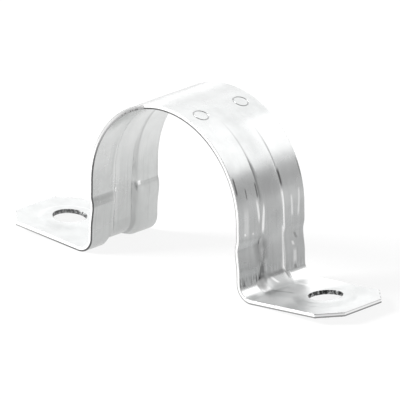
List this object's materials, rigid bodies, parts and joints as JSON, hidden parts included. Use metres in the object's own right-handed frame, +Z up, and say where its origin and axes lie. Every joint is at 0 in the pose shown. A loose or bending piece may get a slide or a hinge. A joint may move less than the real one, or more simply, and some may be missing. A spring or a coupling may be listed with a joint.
{
  "type": "omega clamp",
  "caption": "One-piece zinc-plated steel omega clamp: a round arch over a pipe, ribbed legs and two outward feet, each with a round screw hole.",
  "frame": {"origin": "under the middle of the clamp, level with the underside of its two heels", "axes": "+X from foot to foot, toward the foot beside the ring marks; +Y along the pipe; +Z up from the wall to the crown"},
  "size_m": [0.088, 0.019, 0.0352],
  "materials": {
    "zinc_plated_steel": "bright zinc plate with fine press marks"
  },
  "bodies": {
    "root": {"omega_clamp": "zinc_plated_steel"}
  },
  "joints": []
}
